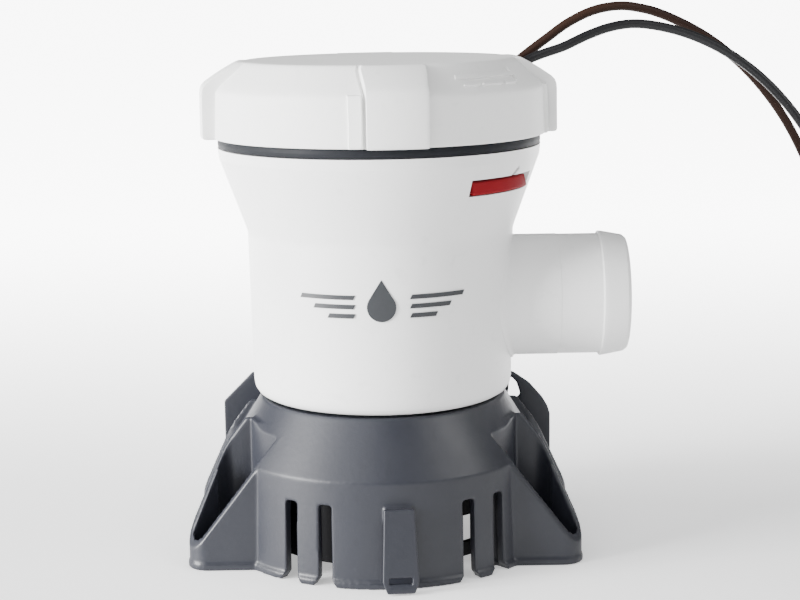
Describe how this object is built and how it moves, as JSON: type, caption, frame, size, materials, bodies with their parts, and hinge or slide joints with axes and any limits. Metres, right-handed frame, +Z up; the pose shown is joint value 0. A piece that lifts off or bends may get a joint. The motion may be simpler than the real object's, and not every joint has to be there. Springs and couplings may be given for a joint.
{
  "type": "bilge pump",
  "caption": "Cartridge bilge pump: flared white housing with a side spigot, ribbed twist cap, slotted grey strainer base with screw ears, and a pair of bare-ended leads.",
  "frame": {"origin": "under the middle of the pump's bounding box, on the surface it stands on; the pump's own axis is at x = -5.85 mm", "axes": "+Z up along the pump's axis, +X along the discharge spigot, -Y towards the front latch"},
  "size_m": [0.2188, 0.0923, 0.1287],
  "materials": {
    "housing_white": "satin moulded, white",
    "cap_white": "satin moulded, white",
    "base_grey": "satin moulded, blue grey",
    "band_charcoal": "matt",
    "cage_black": "satin moulded, black",
    "capsule_black": "satin moulded, black",
    "seal_rubber": "matt",
    "tab_red": "gloss moulded, red",
    "lead_brown": "satin pvc insulation, brown",
    "lead_black": "satin pvc insulation, black",
    "tie_nylon": "natural nylon",
    "copper_strand": "bare stranded copper",
    "steel": "zinc plated steel",
    "lamination": "stacked steel sheet",
    "ferrite": "sintered ferrite",
    "winding_copper": "enamelled copper wire",
    "brass": "satin",
    "carbon": "pressed carbon",
    "nylon": "natural nylon"
  },
  "bodies": {
    "base": {"strainer_base": "base_grey", "intake_cage": "cage_black"},
    "latch_front": {"latch_front": "base_grey"},
    "latch_rear": {"latch_rear": "base_grey"},
    "housing": {"pump_body": "housing_white"},
    "release": {"release_tab": "tab_red", "release_spring": "steel"},
    "collar": {"seal_band": "band_charcoal"},
    "cartridge": {"motor_cap": "cap_white", "lead_grommet": "seal_rubber", "motor_capsule": "capsule_black", "capsule_seal": "seal_rubber", "capsule_lid": "capsule_black", "shaft_seal": "seal_rubber", "motor_can": "steel", "magnet_north": "ferrite", "magnet_south": "ferrite", "bush_upper": "brass", "bush_lower": "brass", "end_bell": "nylon", "brush_positive": "carbon", "brush_negative": "carbon", "brush_spring_positive": "brass", "brush_spring_negative": "brass", "terminal_positive": "brass", "terminal_negative": "brass", "lead_brown": "lead_brown", "lead_brown_coil": "lead_brown", "coil_tie_brown": "tie_nylon", "lead_brown_tip": "copper_strand", "lead_black": "lead_black", "lead_black_coil": "lead_black", "coil_tie_black": "tie_nylon", "lead_black_tip": "copper_strand"},
    "rotor": {"rotor_shaft": "steel", "armature_core": "lamination", "commutator": "winding_copper", "impeller": "nylon", "winding_1": "winding_copper", "winding_2": "winding_copper", "winding_3": "winding_copper"}
  },
  "joints": [
    {"name": "latch_front_press", "type": "hinge", "parent": "base", "child": "latch_front", "pos_m": [-0.00273, -0.03877, 0.0185], "axis": [0.9968, 0.0802, 0], "range_deg": [0, 6], "stiffness_Nm_per_rad": 0.06},
    {"name": "latch_rear_press", "type": "hinge", "parent": "base", "child": "latch_rear", "pos_m": [-0.00897, 0.03877, 0.0185], "axis": [-0.9968, -0.0802, 0], "range_deg": [0, 6], "stiffness_Nm_per_rad": 0.06},
    {"name": "housing_lift", "type": "slide", "parent": "base", "child": "housing", "axis": [0, 0, 1], "range_m": [0, 0.03]},
    {"name": "release_press", "type": "slide", "parent": "housing", "child": "release", "axis": [-0.7986, 0.6018, 0], "range_m": [0, 0.001], "stiffness_N_per_m": 1500},
    {"name": "cartridge_lift", "type": "slide", "parent": "housing", "child": "collar", "axis": [0, 0, 1], "range_m": [0, 0.062]},
    {"name": "cartridge_twist", "type": "hinge", "parent": "collar", "child": "cartridge", "pos_m": [-0.00585, 0, 0.108], "axis": [0, 0, 1], "range_deg": [0, 20]},
    {"name": "rotor_spin", "type": "hinge", "parent": "cartridge", "child": "rotor", "pos_m": [-0.00585, 0, 0.07], "axis": [0, 0, 1], "continuous": true}
  ]
}
